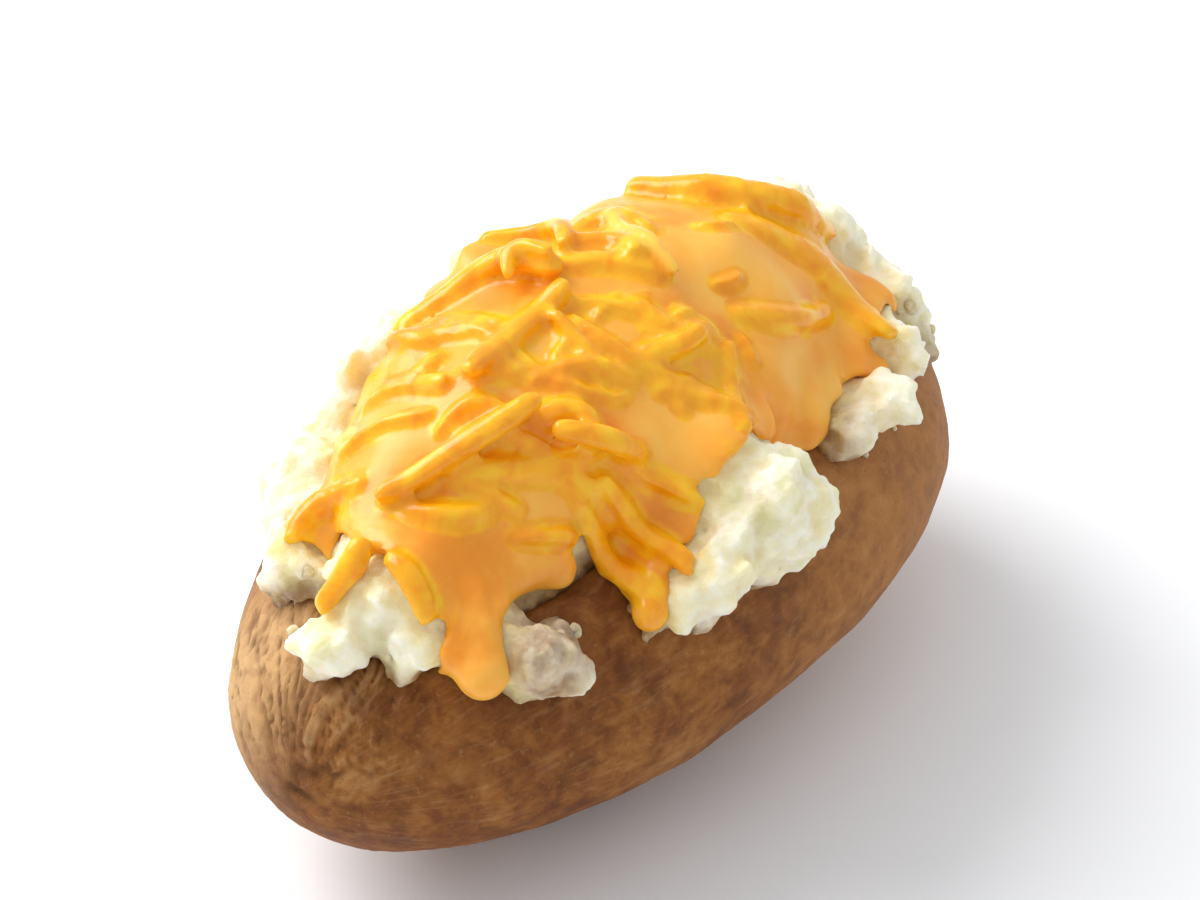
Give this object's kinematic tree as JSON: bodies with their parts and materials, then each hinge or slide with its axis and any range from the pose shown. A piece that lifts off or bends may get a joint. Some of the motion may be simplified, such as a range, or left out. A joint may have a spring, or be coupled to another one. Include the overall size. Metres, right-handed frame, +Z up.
{
  "type": "baked potato",
  "caption": "Baked potato opened along its top, its fluffy flesh heaped above the brown skin under melted cheese sauce and grated cheddar strips.",
  "frame": {"origin": "bottom centre of the bounding box, on the surface that the potato rests on", "axes": "+X along the potato, toward the end where the rim of its skin dips; +Y to the back; +Z up"},
  "size_m": [0.13, 0.078, 0.0753],
  "materials": {
    "skin": "matte",
    "flesh": "matte",
    "sauce": "gloss",
    "cheddar": "satin"
  },
  "bodies": {
    "root": {"potato_skin": "skin", "potato_flesh": "flesh", "cheese_sauce": "sauce", "cheddar_shred_01": "cheddar", "cheddar_shred_02": "cheddar", "cheddar_shred_03": "cheddar", "cheddar_shred_04": "cheddar", "cheddar_shred_05": "cheddar", "cheddar_shred_06": "cheddar", "cheddar_shred_07": "cheddar", "cheddar_shred_08": "cheddar", "cheddar_shred_09": "cheddar", "cheddar_shred_10": "cheddar", "cheddar_shred_11": "cheddar", "cheddar_shred_12": "cheddar", "cheddar_shred_13": "cheddar", "cheddar_shred_14": "cheddar", "cheddar_shred_15": "cheddar", "cheddar_shred_16": "cheddar", "cheddar_shred_17": "cheddar", "cheddar_shred_18": "cheddar", "cheddar_shred_19": "cheddar", "cheddar_shred_20": "cheddar", "cheddar_shred_21": "cheddar", "cheddar_shred_22": "cheddar", "cheddar_shred_23": "cheddar", "cheddar_shred_24": "cheddar", "cheddar_shred_25": "cheddar", "cheddar_shred_26": "cheddar", "cheddar_shred_27": "cheddar", "cheddar_shred_28": "cheddar", "cheddar_shred_29": "cheddar", "cheddar_shred_30": "cheddar", "cheddar_shred_31": "cheddar", "cheddar_shred_32": "cheddar", "cheddar_shred_33": "cheddar", "cheddar_shred_34": "cheddar", "cheddar_shred_35": "cheddar"}
  },
  "joints": []
}
